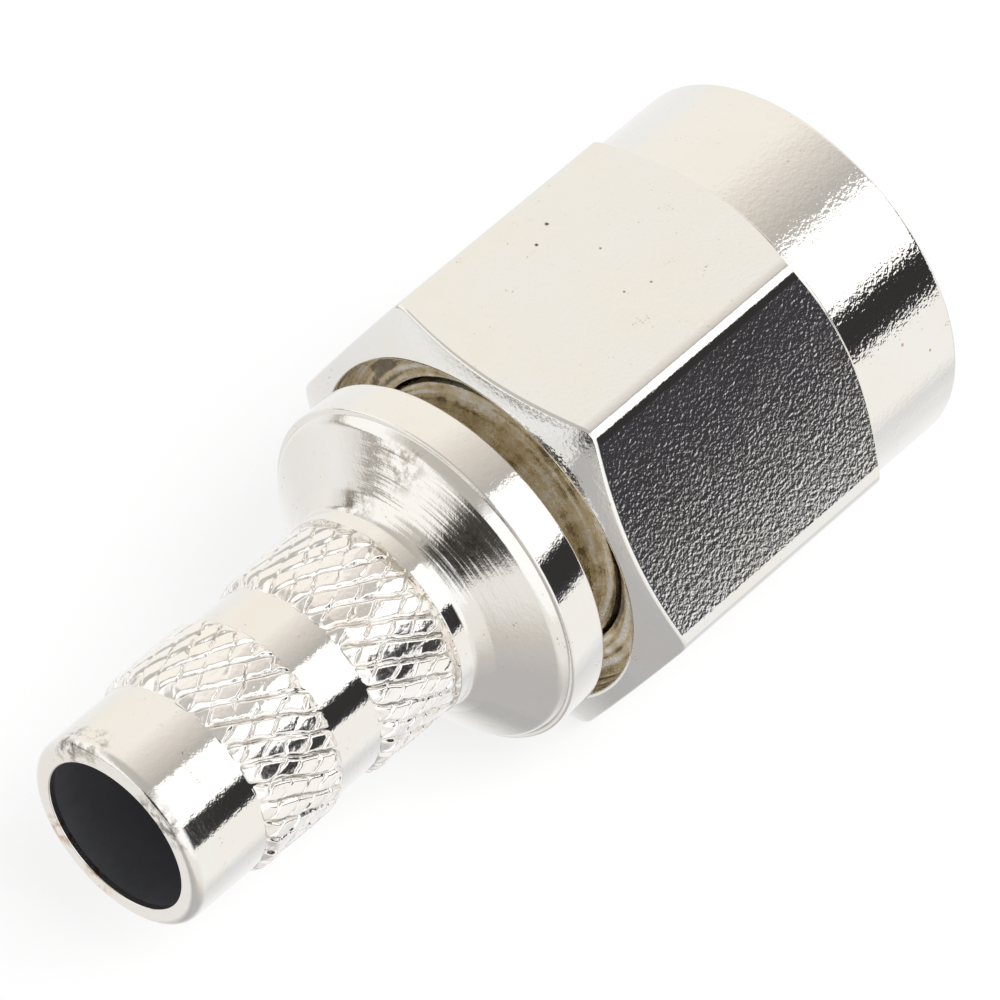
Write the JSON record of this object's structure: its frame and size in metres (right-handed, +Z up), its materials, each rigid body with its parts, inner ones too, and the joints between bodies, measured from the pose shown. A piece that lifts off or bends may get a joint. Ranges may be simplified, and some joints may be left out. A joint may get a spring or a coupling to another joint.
{
  "type": "sma connector",
  "caption": "Straight coaxial cable plug with a free-turning hexagonal coupling nut, a round flange and a hollow, diamond-knurled crimp stem.",
  "frame": {"origin": "on the axis at the mating reference plane, where the front face of the outer conductor lies and the contact's pin begins", "axes": "+X along the axis, out of the mating end; +Z up, square to one of the coupling nut's flats"},
  "size_m": [0.0182, 0.009, 0.008],
  "materials": {
    "body_nickel": "turned brass with bright nickel plating",
    "nut_nickel": "turned brass with bright nickel plating",
    "spring_bronze": "plain spring bronze",
    "silicone": "matt silicone rubber",
    "ptfe": "white PTFE",
    "gold": "gold-plated brass"
  },
  "bodies": {
    "connector": {"connector_body": "body_nickel", "retaining_ring": "spring_bronze", "gasket": "silicone", "front_insulator": "ptfe", "rear_insulator": "ptfe", "centre_contact": "gold"},
    "nut": {"coupling_nut": "nut_nickel"}
  },
  "joints": [
    {"name": "nut_turn", "type": "hinge", "parent": "connector", "child": "nut", "pos_m": [0, 0, 0], "axis": [1, 0, 0], "continuous": true}
  ]
}
